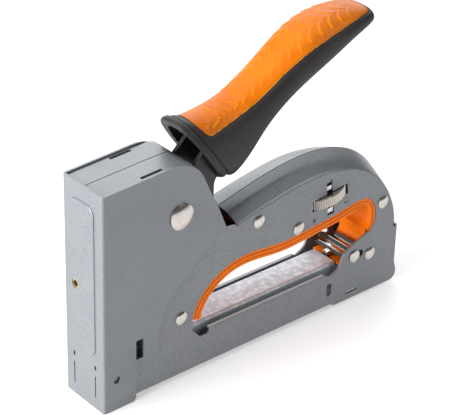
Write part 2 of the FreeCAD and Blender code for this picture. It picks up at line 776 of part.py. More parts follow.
def make_latch():
    """A ribbed finger plate across the opening, on two ears inside the walls."""
    body = new_body("magazine_latch")
    ribs = [(140.4, 22.9, 0), (141.6, 24.3, 0.7), (143.5, 24.4, 0.7), (144.5, 23.3, 0.5), (145.6, 23.4, 0.5),
            (147.0, 25.1, 0.7), (148.7, 25.2, 0.7), (149.6, 24.7, 0.5), (151.1, 26.1, 0)]
    pad(body, "ribbed_plate", strip(ribs, 0.9), -10.2, 20.4)
    ear = rounded([(140.7, 23.3, 0.3), (141.4, 21.2, 1.0), (149.4, 21.2, 1.2), (150.7, 25.0, 0.3),
                   (148.9, 24.7, 0.3), (146.6, 26.0, 0.3), (143.2, 25.8, 0.3), (141.4, 23.9, 0.3)])
    pad(body, "left_ear", ear, 9.2, 1.0)
    pad(body, "right_ear", ear, -10.2, 1.0)
    pad(body, "catch", box(138.4, 19.3, 141.0, 23.2, 0.2), -1.6, 3.2)
    pad(body, "spring_tab", box(146.8, 21.0, 147.7, 24.8, 0.2), -1.8, 3.6)
    return body


def make_latch_studs():
    """The two headed studs that carry the latch in the slots of the side walls."""
    x, z = size("latch_pin_x"), size("latch_pin_z")
    half = size("body_width") / 2 + 0.2
    rivet = domed_rivet(x, z, size("latch_pin_radius"), size("rivet_head_radius"), 0.9, half)
    middle = Part.makeBox(20.0, 20.4, 20.0, vector(x - 10.0, -10.2, z - 10.0))
    return shape_node("latch_studs", rivet.cut(middle))


# ---- the force adjuster -----------------------------------------------------------------------------------------

def stand_on_axis(body):
    """Put a body drawn about Z onto the wheel's leaning axis."""
    body.setExpression("Placement.Base.x", "dims.wheel_x - dims.origin_shift")
    body.setExpression("Placement.Base.z", "dims.wheel_z")
    body.setExpression("Placement.Rotation.Axis.x", "0")
    body.setExpression("Placement.Rotation.Axis.y", "1")
    body.setExpression("Placement.Rotation.Axis.z", "0")
    body.setExpression("Placement.Rotation.Angle", "-dims.wheel_tilt")


def make_adjuster_wheel():
    body = new_body("adjuster_wheel")
    teeth = int(size("wheel_teeth"))
    rim = []
    for k in range(2 * teeth):
        turn = math.pi * k / teeth
        radius = size("wheel_radius") - (0.4 if k % 2 else 0.0)
        rim.append((radius * math.cos(turn), radius * math.sin(turn), 0.0))
    half = size("wheel_thickness") / 2
    pad(body, "knurled_disc", rounded(rim), -half, 2 * half, "XY_Plane")
    bore = [(0.0, 0.0, "dims.screw_radius + dims.running_gap")]
    cut_circles(body, "bore", bore, -half - 1.0, 2 * half + 2.0, "XY_Plane")
    stand_on_axis(body)
    return body


def make_adjuster_screw():
    """The screw through the wheel, with two cross bars whose ends run in the windows."""
    body = new_body("adjuster_screw")
    pad_circles(body, "stem", [(0.0, 0.0, "dims.screw_radius")], -7.6, 13.0, "XY_Plane")
    pad(body, "foot", box(-1.7, -12.2, 1.7, 12.2, 0.3), -7.7, 2.2, "XY_Plane")
    pad(body, "saddle", box(-1.5, -12.2, 1.5, 12.2, 0.3), 4.4, 2.0, "XY_Plane")
    stand_on_axis(body)
    return body


# ---- the handle ------------------------------------------------------------------------------------------------------

# Rings along the handle: top x and z, bottom x and z, half width. The flared rim comes first,
# then the grasp from the groove behind the rim to the tip, then the hollow at the front.
RIM = [(44.9, 119.9, 66.0, 89.3, 12.4), (45.2, 120.5, 66.9, 88.8, 13.2), (47.6, 121.2, 70.3, 87.7, 13.2),
       (48.8, 120.9, 72.0, 87.6, 12.6)]
HANDLE = [(48.4, 120.1, 71.6, 88.3, 12.0), (57.7, 119.5, 76.3, 87.3, 12.2), (71.6, 121.4, 82.0, 92.7, 12.4),
          (76.5, 122.8, 84.9, 96.3, 12.5), (92.1, 130.0, 97.7, 110.8, 12.7), (106.9, 140.1, 112.9, 119.7, 13.0),
          (122.6, 146.7, 128.4, 127.1, 13.0), (134.9, 147.6, 139.1, 133.2, 12.6),
          (145.6, 146.8, 148.4, 137.2, 11.0), (151.7, 145.0, 153.1, 140.0, 7.0)]
HOLLOW = [(42.4, 118.2, 63.5, 87.6, 12.8), (51.5, 119.5, 74.5, 89.6, 12.2)]


def oval(middle, slope, depth, width):
    """A squarish oval ring that faces along a slope in the XZ plane."""
    up = vector(-math.sin(slope), 0, math.cos(slope))
    points = []
    steps = 24
    power = 2.0 / 2.4
    for k in range(steps):
        turn = 2 * math.pi * k / steps
        across = math.copysign(abs(math.cos(turn)) ** power, math.cos(turn)) * width
        rise = math.copysign(abs(math.sin(turn)) ** power, math.sin(turn)) * depth
        points.append(middle + up * rise + vector(0, across, 0))
    ring = Part.BSplineCurve()
    ring.interpolate(Points=points, PeriodicFlag=True)
    return Part.Wire([ring.toShape()])


def loft_through(rings, shrink=0.0):
    ovals = []
    for top_x, top_z, bottom_x, bottom_z, width in rings:
        middle = vector((top_x + bottom_x) / 2, 0, (top_z + bottom_z) / 2)
        slope = math.atan2(bottom_x - top_x, top_z - bottom_z)
        depth = math.hypot(bottom_x - top_x, top_z - bottom_z) / 2
        ovals.append(oval(middle, slope, depth - shrink, width - shrink))
    return Part.makeLoft(ovals, True, False)


def xz_block(pieces, half):
    """A block with an outline in the XZ plane and a half width."""
    edges = []
    for points in pieces:
        turned = [vector(p.x, -half, p.y) for p in points]
        if len(turned) == 2:
            edges.append(Part.LineSegment(*turned).toShape())
        elif len(turned) == 3:
            edges.append(Part.Arc(*turned).toShape())
        else:
            smooth = Part.BSplineCurve()
            smooth.interpolate(turned)
            edges.append(smooth.toShape())
    return Part.Face(Part.Wire(edges)).extrude(vector(0, 2 * half, 0))


def make_handle():
    """The moulded handle with its flared rim, and the soft grip let into its back."""
    grasp = loft_through(HANDLE)
    above = curve([(57.0, 114.0), (66.0, 113.6), (80.0, 119.0), (91.0, 125.3), (101.0, 131.0), (112.0, 135.6),
                   (123.0, 138.6), (134.0, 141.0), (152.0, 142.4)])
    region = xz_block(joined(above, [[vector(165, 144), vector(165, 170)], [vector(165, 170), vector(50, 170)],
                                     [vector(50, 170), vector(57.0, 122.0)]]), 20.0)
    grip = grasp.common(region).cut(loft_through(HANDLE, size("grip_thickness")))
    lever_room = xz_block(rounded(LEVER_ROOM), size("lever_inside") / 2 + size("lever_plate") + 0.05)
    hollow = loft_through(HOLLOW, size("rim_wall"))
    handle = grasp.fuse(loft_through(RIM)).cut(grip).cut(lever_room).cut(hollow)
    shape_node("handle_body", handle)
    shape_node("handle_grip", grip)


LEVER_ROOM = [(30, 60, 0), (64.4, 79.0, 0), (64.6, 89.9, 6.0), (74.2, 94.9, 12.0), (98.2, 115.9, 12.0),
              (109.2, 122.4, 2.0), (105.0, 129.2, 3.0), (84.0, 117.3, 14.0), (60.0, 108.7, 10.0), (30, 90, 0)]


def check_and_write():
    doc.recompute()
    for item in doc.Objects:
        if "Invalid" in item.State or "Error" in item.State:
            raise RuntimeError("%s failed: %s" % (item.Name, item.State))
    os.makedirs("parts", exist_ok=True)
    for part in SUBPARTS:
        shape = part.Shape
        if shape.isNull() or not shape.isValid() or not shape.Solids:
            raise RuntimeError(part.Label + " has no valid solid")
        shape.exportStep("parts/%s.step" % part.Label)
        print("%-22s %3d solid(s) %10.1f mm3" % (part.Label, len(shape.Solids), shape.Volume))


def main():
    left = make_left_shell()
    make_right_shell(left)
    make_finger_liner()
    make_nose_cover()
    make_nose_guide()
    make_front_bush()
    make_plunger_guides()
    make_bumper()
    make_driver_blade()
    make_plunger()
    make_lever()
    make_lever_bush()
    make_nose_roller()
    make_nose_pin()
    make_rivets()
    make_pivot_rivet()
    make_sleeves()
    make_drive_spring()
    make_magazine_channel()
    make_staple_rail()
    make_magazine_end()
    make_guide_rod()
    make_pusher()
    make_pusher_spring()
    make_latch()
    make_latch_studs()
    make_latch_spring()
    make_adjuster_wheel()
    make_adjuster_screw()
    make_handle()
    check_and_write()


main()
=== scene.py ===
import json
import math

import bpy
import bmesh
from mathutils import Matrix, Vector


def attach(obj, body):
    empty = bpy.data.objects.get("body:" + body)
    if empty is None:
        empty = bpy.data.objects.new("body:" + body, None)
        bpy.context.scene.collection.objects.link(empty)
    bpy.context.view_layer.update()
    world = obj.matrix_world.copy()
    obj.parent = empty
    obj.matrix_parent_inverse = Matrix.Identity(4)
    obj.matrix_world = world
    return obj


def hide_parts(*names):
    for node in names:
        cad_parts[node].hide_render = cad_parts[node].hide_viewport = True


# A hand staple gun, in metres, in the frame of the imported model: +X from nose to rear, +Z up, and the
# origin under the middle. Drawing sizes are millimetres measured from the nose's front face.

MM = 0.001
FORWARD = 86.5     # how far the nose's front face lies ahead of the origin

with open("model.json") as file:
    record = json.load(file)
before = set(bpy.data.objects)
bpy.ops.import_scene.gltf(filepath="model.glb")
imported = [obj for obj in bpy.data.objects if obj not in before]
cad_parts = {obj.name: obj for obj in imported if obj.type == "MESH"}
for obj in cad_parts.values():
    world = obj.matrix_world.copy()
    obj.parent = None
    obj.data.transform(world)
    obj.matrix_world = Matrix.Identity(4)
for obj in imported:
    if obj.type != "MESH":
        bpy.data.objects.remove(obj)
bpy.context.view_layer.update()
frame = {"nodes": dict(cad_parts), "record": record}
nodes = frame["nodes"]
ops = bpy.ops


def place(x, y, z):
    """A point measured from the foot of the nose's front face, in the model's frame."""
    return Vector(((x - FORWARD) * MM, y * MM, z * MM))


# ---- working with objects ------------------------------------------------------------

def pick(obj):
    """Make one object the only one selected."""
    for other in list(bpy.context.selected_objects):
        other.select_set(False)
    obj.select_set(True)
    bpy.context.view_layer.objects.active = obj


def apply_modifiers(obj):
    """Bake the object's modifiers into its mesh."""
    pick(obj)
    for modifier in list(obj.modifiers):
        ops.object.modifier_apply(modifier=modifier.name)


def settle(obj):
    """Put the object's place into its mesh."""
    pick(obj)
    ops.object.transform_apply(location=True, rotation=True, scale=True)


def shade(obj, degrees):
    """Smooth shading, except across edges sharper than an angle."""
    pick(obj)
    ops.object.shade_smooth_by_angle(angle=math.radians(degrees))


def boolean(obj, tool, operation):
    """Join, cut or cross an object with a tool that stays as it is."""
    cutter = obj.modifiers.new("cut", "BOOLEAN")
    cutter.operation = operation
    cutter.solver = "EXACT"
    cutter.object = tool
    apply_modifiers(obj)


def finish_piece(obj, name, body, material, slot, *replaced):
    obj.name = name
    obj.data.name = name
    if not obj.data.materials:
        obj.data.materials.append(material)
    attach(obj, body)
    if replaced:
        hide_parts(*replaced)
    return obj


# ---- materials -----------------------------------------------------------------------

class Finish:
    """A material with a Principled shader and short calls for the nodes around it."""

    def __init__(self, name, roughness, metallic=0.0):
        self.material = bpy.data.materials.new(name)
        self.material.use_nodes = True
        self.tree = self.material.node_tree
        self.shader = self.tree.nodes["Principled BSDF"]
        self.shader.inputs["Roughness"].default_value = roughness
        self.shader.inputs["Metallic"].default_value = metallic
        self.place = self.tree.nodes.new("ShaderNodeTexCoord").outputs["Object"]

    def link(self, out, into):
        self.tree.links.new(out, into)

    def node(self, kind, **settings):
        made = self.tree.nodes.new(kind)
        for key, value in settings.items():
            setattr(made, key, value)
        return made

    def mapped(self, scale):
        """The object's coordinates stretched along each axis."""
        mapping = self.node("ShaderNodeMapping")
        mapping.inputs["Scale"].default_value = scale
        self.link(self.place, mapping.inputs["Vector"])
        return mapping.outputs["Vector"]

    def noise(self, scale, detail=3.0, roughness=0.55, where=None):
        made = self.node("ShaderNodeTexNoise")
        made.inputs["Scale"].default_value = scale
        made.inputs["Detail"].default_value = detail
        made.inputs["Roughness"].default_value = roughness
        self.link(where or self.place, made.inputs["Vector"])
        return made.outputs["Fac"]

    def cells(self, scale):
        made = self.node("ShaderNodeTexVoronoi")
        made.inputs["Scale"].default_value = scale
        self.link(self.place, made.inputs["Vector"])
        return made.outputs["Distance"]

    def ramp(self, value, low, high, dark, light):
        """Blend two colours while a value runs from low to high."""
        made = self.node("ShaderNodeValToRGB")
        made.color_ramp.elements[0].position = low
        made.color_ramp.elements[1].position = high
        made.color_ramp.elements[0].color = (*dark, 1)
        made.color_ramp.elements[1].color = (*light, 1)
        self.link(value, made.inputs["Fac"])
        return made.outputs["Color"]

    def span(self, value, low, high, start, end):
        """Map a value that runs from low to high on to the range from start to end."""
        made = self.node("ShaderNodeMapRange")
        limits = {"From Min": low, "From Max": high, "To Min": start, "To Max": end}
        for name, number in limits.items():
            made.inputs[name].default_value = number
        self.link(value, made.inputs["Value"])
        return made.outputs["Result"]

    def mixed(self, share, first, second):
        made = self.node("ShaderNodeMix", data_type="RGBA")
        self.link(share, made.inputs["Factor"])
        self.link(first, made.inputs["A"])
        self.link(second, made.inputs["B"])
        return made.outputs["Result"]

    def total(self, first, second):
        made = self.node("ShaderNodeMath", operation="ADD")
        self.link(first, made.inputs[0])
        self.link(second, made.inputs[1])
        return made.outputs[0]

    def ridge_highlight_mask(self, low, high):
        """A painted highlight mask: from 0 on flat faces to 1 on outward edges."""
        pointed = self.node("ShaderNodeNewGeometry").outputs["Pointiness"]
        return self.span(pointed, low, high, 0.0, 1.0)

    def colour(self, out):
        self.link(out, self.shader.inputs["Base Color"])

    def rough(self, out):
        self.link(out, self.shader.inputs["Roughness"])

    def soften(self, weight):
        """The low gloss and the glow below the surface of a soft or moulded orange plastic."""
        self.shader.inputs["Specular IOR Level"].default_value = 0.16
        self.shader.inputs["Subsurface Weight"].default_value = weight
        self.shader.inputs["Subsurface Radius"].default_value = (0.002, 0.0008, 0.0003)
        self.shader.inputs["Subsurface Scale"].default_value = 1.0

    def bump(self, height, distance, strength):
        made = self.node("ShaderNodeBump")
        made.inputs["Distance"].default_value = distance
        made.inputs["Strength"].default_value = strength
        self.link(height, made.inputs["Height"])
        self.link(made.outputs["Normal"], self.shader.inputs["Normal"])


def body_paint(name, gain):
    """Silver-grey metallic paint: flakes, a slight orange peel, uneven gloss. Gain makes it paler."""
    made = Finish(name, 0.38, 0.5)
    made.shader.inputs["Coat Weight"].default_value = 0.2
    made.shader.inputs["Coat Roughness"].default_value = 0.25
    flakes = made.noise(2300.0, 4.0, 0.75)
    clouds = made.noise(60.0, 3.0)
    flecked = made.ramp(flakes, 0.36, 0.64, [gain * c for c in (0.078, 0.083, 0.092)],
                        [gain * c for c in (0.30, 0.315, 0.335)])
    cloudy = made.ramp(clouds, 0.3, 0.7, [gain * c for c in (0.158, 0.168, 0.183)],
                       [gain * c for c in (0.188, 0.198, 0.214)])
    half = made.node("ShaderNodeMix", data_type="RGBA")
    half.inputs["Factor"].default_value = 0.45
    made.link(flecked, half.inputs["A"])
    made.link(cloudy, half.inputs["B"])
    made.colour(half.outputs["Result"])
    made.rough(made.span(flakes, 0.3, 0.7, 0.34, 0.48))
    peel = made.noise(1300.0, 2.0)
    made.bump(made.total(flakes, peel), 0.00004, 0.4)
    return made.material


def orange_plastic(name, dark, light, grain):
    """Moulded orange plastic with fine grain and slightly uneven colour."""
    made = Finish(name, 0.42)
    made.soften(0.06)
    made.colour(made.ramp(made.noise(90.0, 4.0), 0.3, 0.7, dark, light))
    speckle = made.noise(grain, 2.0, 0.6)
    made.rough(made.span(speckle, 0.3, 0.7, 0.36, 0.5))
    made.bump(speckle, 0.00003, 0.4)
    return made.material


def grip_rubber():
    """Soft orange overmould, with a painted highlight: paler on its ridges and outward edges."""
    made = Finish("grip_rubber", 0.4)
    made.soften(0.08)
    base = made.ramp(made.noise(70.0, 4.0), 0.3, 0.7, (0.44, 0.100, 0.0), (0.52, 0.128, 0.001))
    # Painted highlight: the pale orange goes on the ridges and outward edges.
    pale = made.node("ShaderNodeRGB")
    pale.outputs[0].default_value = (0.75, 0.27, 0.01, 1)
    made.colour(made.mixed(made.ridge_highlight_mask(0.515, 0.56), base, pale.outputs[0]))
    grain = made.noise(2600.0, 2.0, 0.6)
    made.rough(made.span(grain, 0.3, 0.7, 0.34, 0.46))
    made.bump(grain, 0.00003, 0.35)
    return made.material


def dark_plastic(name, dark, light, roughness):
    """Black-brown moulded plastic with a fine spark-eroded grain."""
    made = Finish(name, roughness)
    made.shader.inputs["Specular IOR Level"].default_value = 0.35
    made.colour(made.ramp(made.noise(120.0, 3.0), 0.3, 0.7, dark, light))
    grain = made.cells(3400.0)
    made.rough(made.span(made.noise(800.0), 0.3, 0.7, roughness - 0.06, roughness + 0.08))
    made.bump(grain, 0.00004, 0.3)
    return made.material


def plated(name, dark, light, roughness, brush=(1.0, 1.0, 1.0), streaks=900.0, depth=0.00001):
    """Plated steel: a metal with streaks or spangle in its colour and gloss."""
    made = Finish(name, roughness, 1.0)
    where = made.mapped(brush)
    streak = made.noise(streaks, 3.0, 0.6, where)
    made.colour(made.ramp(streak, 0.3, 0.7, dark, light))
    made.rough(made.span(made.noise(140.0, 4.0), 0.3, 0.7, max(roughness - 0.05, 0.04), roughness + 0.07))
    made.bump(streak, depth, 0.3)
    return made.material


def channel_zinc():
    """Satin zinc with small crystals."""
    made = Finish("channel_zinc", 0.36, 0.5)
    spangle = made.cells(420.0)
    fine = made.noise(1800.0, 3.0, 0.6)
    made.colour(made.ramp(spangle, 0.05, 0.7, (0.52, 0.57, 0.63), (0.43, 0.475, 0.53)))
    made.rough(made.span(made.total(spangle, fine), 0.4, 1.3, 0.4, 0.6))
    made.bump(fine, 0.00002, 0.35)
    return made.material


def black_mark():
    """Printed black of the marks beside the wheel."""
    made = Finish("black_mark", 0.5)
    made.colour(made.ramp(made.noise(900.0), 0.3, 0.7, (0.008, 0.008, 0.009), (0.02, 0.02, 0.022)))
    return made.material


PAINT = body_paint("body_paint", 1.0)
# A paler copy of the body paint, as a painted highlight along the rounded edges of the pressings.
EDGE_HIGHLIGHT_PAINT = body_paint("worn_paint", 1.7)     # on the rounded edges of the pressings
LINER = orange_plastic("liner_plastic", (0.74, 0.150, 0.001), (0.82, 0.185, 0.002), 3000.0)
GRIP = grip_rubber()
HANDLE_PLASTIC = dark_plastic("handle_plastic", (0.011, 0.0085, 0.0085), (0.018, 0.0145, 0.0145), 0.5)
END_PLASTIC = dark_plastic("black_plastic", (0.012, 0.012, 0.012), (0.025, 0.025, 0.025), 0.45)
RUBBER = dark_plastic("black_rubber", (0.02, 0.02, 0.02), (0.035, 0.035, 0.035), 0.7)
BLACK_STEEL = dark_plastic("black_steel", (0.016, 0.015, 0.015), (0.03, 0.028, 0.027), 0.35)
CHROME = plated("latch_chrome", (0.42, 0.41, 0.40), (0.52, 0.51, 0.50), 0.1, streaks=500.0, depth=0.000004)
NICKEL = plated("rivet_nickel", (0.50, 0.465, 0.43), (0.62, 0.585, 0.545), 0.15,
               streaks=700.0, depth=0.000005)
WHEEL = plated("wheel_plating", (0.36, 0.33, 0.295), (0.52, 0.485, 0.44), 0.26, streaks=1200.0)
ZINC = plated("plated_steel", (0.52, 0.53, 0.54), (0.68, 0.69, 0.70), 0.34,
              brush=(0.15, 1, 1), streaks=2200.0)
SPRING = plated("spring_steel", (0.20, 0.20, 0.21), (0.34, 0.34, 0.35), 0.3, streaks=1500.0)
BRASS = plated("brass", (0.62, 0.45, 0.18), (0.74, 0.55, 0.24), 0.25, streaks=1500.0)
GALVANISED = channel_zinc()
MARK = black_mark()

SLOT_FINISH = {
    "body_paint": PAINT, "liner_plastic": LINER, "grip_rubber": GRIP, "handle_plastic": HANDLE_PLASTIC,
    "black_plastic": END_PLASTIC, "black_rubber": RUBBER, "black_steel": BLACK_STEEL,
    "latch_chrome": CHROME, "rivet_nickel": NICKEL, "wheel_plating": WHEEL, "plated_steel": ZINC,
    "spring_steel": SPRING, "brass": BRASS, "channel_zinc": GALVANISED,
}


def dress_cad_nodes():
    """Give every node of the frame the finish of its slot."""
    for part in frame["record"]["subparts"]:
        mesh = nodes[part["node"]].data
        mesh.materials.clear()
        mesh.materials.append(SLOT_FINISH[part["material_slot"]])


# ---- pressed and moulded parts with softened edges -----------------------------------

# Widths of the rounded edges, in millimetres.
PRESSED = {
    "left_shell": 0.22, "right_shell": 0.22, "nose_cover": 0.22, "magazine_channel": 0.12,
    "magazine_latch": 0.12, "finger_liner": 0.3, "lever": 0.25, "magazine_end": 0.4,
}
WELD_GAP = 0.003 * MM
FLAT_WITHIN = math.radians(0.6)
EDGE_OVER = math.radians(28)


def body_of(node):
    for body, members in frame["record"]["behaviour"]["bodies"].items():
        if node in members:
            return body
    raise KeyError(node)


def slot_of(node):
    for part in frame["record"]["subparts"]:
        if part["node"] == node:
            return part["material_slot"]
    raise KeyError(node)


def welded_copy(node):
    """A copy of a node with its loose triangles joined and its flat faces whole."""
    piece = nodes[node].copy()
    piece.data = nodes[node].data.copy()
    piece.parent = None
    for key in list(piece.keys()):
        del piece[key]
    bpy.context.scene.collection.objects.link(piece)
    pick(piece)
    ops.object.mode_set(mode="EDIT")
    ops.mesh.select_all(action="SELECT")
    ops.mesh.remove_doubles(threshold=WELD_GAP)
    ops.mesh.customdata_custom_splitnormals_clear()
    ops.mesh.dissolve_limited(angle_limit=FLAT_WITHIN, use_dissolve_boundaries=False)
    ops.object.mode_set(mode="OBJECT")
    return piece


def round_edges(node, width):
    """A copy of a part whose sharp edges are slightly rounded, as pressing leaves them."""
    piece = welded_copy(node)
    bevel = piece.modifiers.new("edges", "BEVEL")
    bevel.width = width * MM
    bevel.segments = 2
    bevel.limit_method = "ANGLE"
    bevel.angle_limit = EDGE_OVER
    bevel.use_clamp_overlap = True
    slot = slot_of(node)
    piece.data.materials.clear()
    piece.data.materials.append(SLOT_FINISH[slot])
    # Body paint gets the paler copy on its bevel faces, a painted highlight along the edges.
    if slot == "body_paint":
        piece.data.materials.append(EDGE_HIGHLIGHT_PAINT)
        bevel.material = 1
    apply_modifiers(piece)
    shade(piece, 32)
    flat = piece.modifiers.new("flat_faces", "WEIGHTED_NORMAL")
    flat.keep_sharp = True
    flat.weight = 100
    apply_modifiers(piece)
    return finish_piece(piece, node + "_pressed", body_of(node), SLOT_FINISH[slot], slot, node)


# ---- the handle ----------------------------------------------------------------------

# Rings along the handle, from its flared collar to its tip: top x and z, bottom x and z, half width.
HANDLE = [
    (47.2, 117.3, 64.4, 92.7, 9.6), (44.9, 119.9, 66.0, 89.3, 12.4),
    (44.8, 120.4, 66.6, 88.8, 13.1), (45.6, 121.1, 68.6, 87.9, 13.3),
    (47.5, 121.3, 70.2, 87.6, 13.2), (48.3, 120.8, 71.2, 87.9, 12.5),
    (48.9, 120.3, 71.8, 88.2, 12.1), (49.5, 120.6, 72.6, 87.6, 12.5),
    (52.1, 120.1, 74.2, 86.9, 12.3), (57.7, 119.5, 76.3, 87.2, 12.2),
    (65.0, 120.2, 79.2, 89.4, 12.3), (71.6, 121.4, 82.0, 92.7, 12.4),
    (76.5, 122.8, 84.9, 96.4, 12.5), (84.4, 126.1, 90.8, 104.3, 12.6),
    (92.1, 130.1, 97.7, 110.7, 12.7), (99.6, 135.0, 105.2, 115.8, 12.9),
    (106.9, 140.1, 112.9, 119.7, 13.0), (114.6, 144.3, 120.8, 123.3, 13.0),
    (122.6, 146.7, 128.4, 127.1, 13.0), (129.0, 147.4, 134.0, 130.4, 12.9),
    (134.9, 147.6, 139.1, 133.2, 12.6), (140.3, 147.3, 143.7, 135.3, 12.0),
    (145.6, 146.8, 148.4, 137.2, 11.0), (149.7, 145.9, 151.9, 138.7, 9.3),
    (151.8, 144.6, 153.0, 140.4, 6.4),
]

# The hollow in the collar, as two more rings, and the wall left round it.
HOLLOW = [(42.4, 118.2, 63.5, 87.6, 12.8), (51.5, 119.5, 74.5, 89.6, 12.2)]
RIM_WALL = 2.6

# The room for the lever, seen from the side, and its half width.
LEVER_ROOM = [
    (30.0, 60.0), (64.3, 79.0), (64.5, 90.4), (74.4, 95.4), (98.2, 116.0), (108.6, 122.2),
    (105.2, 129.0), (84.0, 117.5), (60.0, 108.7), (30.0, 90.0),
]
LEVER_ROOM_HALF = 7.7

SQUARENESS = 2.4
RING_POINTS = 24
RING_STEPS = 2
SMOOTH_LEVELS = 3
GRIP_EDGE_STEPS = 4

# The edge of the grip, seen from the side, from behind the collar to the tip.
GRIP_EDGE = [
    (46.6, 129.0), (53.2, 119.2), (55.9, 115.8), (57.8, 114.0), (60.6, 113.5), (68.8, 115.6),
    (79.6, 119.5), (90.2, 125.1), (100.8, 131.6), (111.2, 136.9), (122.0, 140.6), (133.9, 143.7),
    (142.5, 144.8), (148.4, 145.0), (150.6, 146.2), (151.4, 150.0),
]

# Corners that close the cutting block above the grip's edge, and its half width.
OVER_GRIP = [(160.0, 165.0), (45.0, 165.0)]
OVER_GRIP_HALF = 20.0


def squared_oval(ring):
    """Square the edit-mode circle of points up to a fuller oval."""
    mesh = bmesh.from_edit_mesh(ring.data)
    for k, point in enumerate(mesh.verts):
        turn = 2 * math.pi * k / RING_POINTS
        for axis, share in ((1, math.cos(turn)), (2, math.sin(turn))):
            point.co[axis] = math.copysign(abs(share) ** (2 / SQUARENESS), share) * MM
        point.co[0] = 0.0
    bmesh.update_edit_mesh(ring.data)


def ring_place(ring, shrink):
    """A ring's middle x and z, slope in degrees, half depth and half width."""
    top_x, top_z, bottom_x, bottom_z, width = ring
    depth = math.hypot(bottom_x - top_x, top_z - bottom_z) / 2
    slope = math.degrees(math.atan2(bottom_x - top_x, top_z - bottom_z))
    return (top_x + bottom_x) / 2, (top_z + bottom_z) / 2, slope, depth - shrink, width - shrink


def loft(name, rings, shrink=0.0):
    """Extrude a ring of points from station to station, then close both ends."""
    stations = [ring_place(ring, shrink) for ring in rings]
    ops.object.select_all(action="DESELECT")
    ops.mesh.primitive_circle_add(vertices=RING_POINTS, radius=MM, location=(0, 0, 0))
    piece = bpy.context.active_object
    piece.name = name
    ops.object.mode_set(mode="EDIT")
    squared_oval(piece)
    x, z, slope, depth, width = stations[0]
    here = place(x, 0, z)
    ops.transform.resize(value=(1.0, width, depth), center_override=(0, 0, 0))
    ops.transform.rotate(value=math.radians(slope), orient_axis="Y", center_override=(0, 0, 0))
    ops.transform.translate(value=here)
    for x, z, next_slope, next_depth, next_width in stations[1:]:
        ahead = place(x, 0, z)
        ops.mesh.extrude_region_move(TRANSFORM_OT_translate={"value": ahead - here})
        if next_slope != slope:
            turn = math.radians(next_slope - slope)
            ops.transform.rotate(value=turn, orient_axis="Y", center_override=ahead)
        thicker = next_depth / depth
        ops.transform.resize(value=(thicker, next_width / width, thicker), center_override=ahead)
        here, slope, depth, width = ahead, next_slope, next_depth, next_width
    ops.mesh.edge_face_add()
    ops.mesh.select_all(action="DESELECT")
    mesh = bmesh.from_edit_mesh(piece.data)
    for edge in mesh.edges:
        edge.select_set(edge.is_boundary)
    bmesh.update_edit_mesh(piece.data)
    ops.mesh.edge_face_add()
    ops.mesh.select_all(action="SELECT")
    ops.mesh.normals_make_consistent(inside=False)
    ops.object.mode_set(mode="OBJECT")
    return piece


def slab(name, outline, half_width):
    """A block with an outline in XZ, from one side to the other: a cutting tool."""
    ops.object.select_all(action="DESELECT")
    ops.mesh.primitive_circle_add(vertices=len(outline), radius=MM, fill_type="NGON", location=(0, 0, 0))
    tool = bpy.context.active_object
    tool.name = name
    ops.object.mode_set(mode="EDIT")
    mesh = bmesh.from_edit_mesh(tool.data)
    for point, (x, z) in zip(mesh.verts, outline):
        point.co = place(x, -half_width, z)
    bmesh.update_edit_mesh(tool.data)
    ops.mesh.select_all(action="SELECT")
    ops.mesh.extrude_region_move(TRANSFORM_OT_translate={"value": (0, 2 * half_width * MM, 0)})
    ops.mesh.select_all(action="SELECT")
    ops.mesh.normals_make_consistent(inside=False)
    ops.object.mode_set(mode="OBJECT")
    return tool


def smooth_line(points, steps):
    """Points along a smooth curve through the given ones."""
    line = []
    for k in range(len(points) - 1):
        before = Vector(points[max(k - 1, 0)])
        a, b = Vector(points[k]), Vector(points[k + 1])
        after = Vector(points[min(k + 2, len(points) - 1)])
        for step in range(steps):
            t = step / steps
            bend = (2 * a + (b - before) * t + (2 * before - 5 * a + 4 * b - after) * t ** 2
                    + (3 * a - before - 3 * b + after) * t ** 3)
            line.append(tuple(bend / 2))
    line.append(points[-1])
    return line


def subdivided(obj, levels):
    """The object with its surface smoothed by subdivision."""
    smooth = obj.modifiers.new("smooth", "SUBSURF")
    smooth.levels = levels
    smooth.render_levels = levels
    apply_modifiers(obj)
    return obj


def remove(*objects):
    for obj in objects:
        bpy.data.objects.remove(obj)


def distance_to_line(point, line):
    """How far a point is from a broken line, seen from the side, with the place along the line."""
    best, along, run = 1.0, 0.0, 0.0
    for a, b in zip(line, line[1:]):
        step = b - a
        share = max(0.0, min(1.0, (point - a).dot(step) / step.length_squared))
        gap = (a + step * share - point).length
        if gap < best:
            best, along = gap, run + share * step.length
        run += step.length
    return best, along


# The grip's scales: their size, how bowed and how steep their front edges are, and how far they sink
# back. They fade in from a margin along the edge, round a grip of about GRIP_RADIUS.
SCALE_PITCH = 5.6 * MM
SCALE_HALF = 5.2 * MM
SCALE_RISE = 0.5 * MM
SCALE_BOW = 0.55
SCALE_STEP = 0.11
SCALE_SINK = 0.8
SCALE_MARGIN = 1.6 * MM
SCALE_FADE = 1.2 * MM
GRIP_RADIUS = 11.0 * MM
FACES_DOWN = -0.3

# The seam between grip and handle.
GROOVE_WIDTH = 1.0 * MM
GROOVE_DEPTH = 0.42 * MM
ON_SEAM = 0.02 * MM


def scale_height(along, across):
    """Overlapping scales: each has a round front edge and slopes back under the next."""
    column = round(across / (2 * SCALE_HALF))
    off = across / SCALE_HALF - 2 * column
    row = along / SCALE_PITCH - SCALE_BOW * off * off + (0.5 if column % 2 else 0.0)
    part = row - math.floor(row)
    edge = min(part / SCALE_STEP, 1.0)
    return SCALE_RISE * (edge * edge * (3 - 2 * edge)) * (1.0 - SCALE_SINK * part)


def side_line(points):
    """The drawing's x and z as places seen from the side, in metres."""
    return [Vector(((x - FORWARD) * MM, z * MM)) for x, z in points]


def centre_line():
    """The line through the middles of the handle's rings."""
    return side_line([ring_place(ring, 0.0)[:2] for ring in HANDLE])


